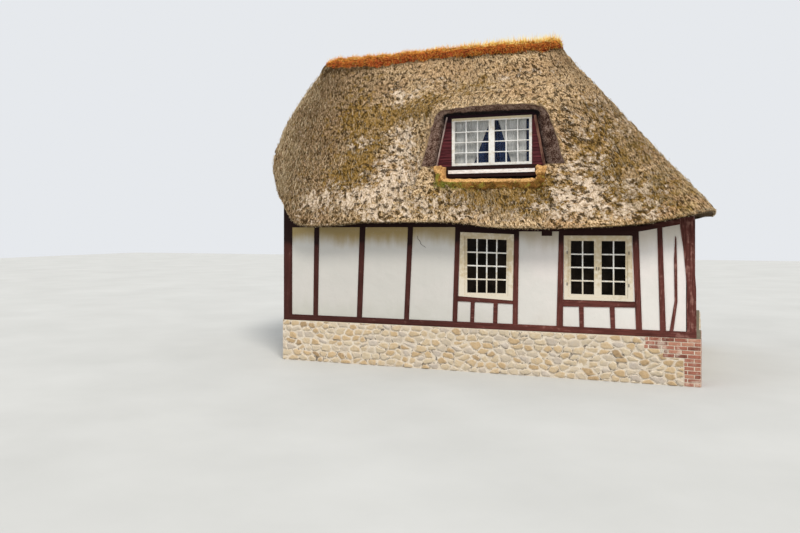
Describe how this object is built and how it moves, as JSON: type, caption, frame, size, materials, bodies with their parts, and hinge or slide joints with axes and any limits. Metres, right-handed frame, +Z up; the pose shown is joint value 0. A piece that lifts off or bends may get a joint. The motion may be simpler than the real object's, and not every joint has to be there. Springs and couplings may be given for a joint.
{
  "type": "thatched half-timbered cottage",
  "caption": "Small half-timbered cottage on a stone and brick plinth, with a steep mossy thatched roof, an eyebrow dormer and small-paned windows.",
  "frame": {"origin": "middle of the base rectangle, at ground level under the plinth", "axes": "+X along the front wall towards the hipped end, +Y from the front wall with the dormer to the back, +Z up"},
  "size_m": [9.7718, 6.2858, 7.14],
  "materials": {
    "thatch": "weathered reed thatch with moss and lichen",
    "ridge_turf": "dry orange turf and straw",
    "cut_straw": "cut straw ends, mossy in front",
    "plaster": "off-white lime plaster, slightly stained",
    "timber": "oxblood-painted oak, matt",
    "rubble": "beige rubble and flint in lime mortar",
    "brick": "red hand-made brick in pale mortar",
    "floor_boards": "worn boards",
    "cream_paint": "cream-painted window wood",
    "white_paint": "white-painted window wood",
    "glass": "old window glass",
    "net_cloth": "white net curtain",
    "blue_cloth": "dark blue drape",
    "step_stone": "worn stone"
  },
  "bodies": {
    "root": {"back_door": "timber", "back_door_frame": "cream_paint", "back_timber_frame": "timber", "back_wall": "plaster", "back_window_frame": "cream_paint", "back_window_glass": "glass", "blue_drape": "blue_cloth", "brick_corner": "brick", "corner_post_left": "timber", "corner_post_right": "timber", "corner_stud": "timber", "crooked_strut": "timber", "doorstep": "step_stone", "dormer_apron": "cut_straw", "dormer_boards": "timber", "dormer_casement_left": "white_paint", "dormer_casement_right": "white_paint", "dormer_glass": "glass", "dormer_window_frame": "white_paint", "front_post_far_left": "timber", "front_post_left": "timber", "front_post_middle": "timber", "front_sill_beam": "timber", "front_wall": "plaster", "front_wall_plate": "timber", "ground_floor": "floor_boards", "left_timber_frame": "timber", "left_wall": "plaster", "left_window_frame": "cream_paint", "left_window_glass": "glass", "left_window_post_left": "timber", "left_window_post_right": "timber", "left_window_rail": "timber", "left_window_sash": "cream_paint", "loft_floor": "floor_boards", "net_curtain_left": "net_cloth", "net_curtain_right": "net_cloth", "plinth_back": "rubble", "plinth_front": "rubble", "plinth_left": "rubble", "plinth_right": "rubble", "ridge_cap": "ridge_turf", "right_timber_frame": "timber", "right_wall": "plaster", "right_window_casement_left": "cream_paint", "right_window_casement_right": "cream_paint", "right_window_frame": "cream_paint", "right_window_glass": "glass", "right_window_post_left": "timber", "right_window_post_right": "timber", "right_window_rail": "timber", "thatch_roof": "thatch", "window_box": "timber"}
  },
  "joints": []
}
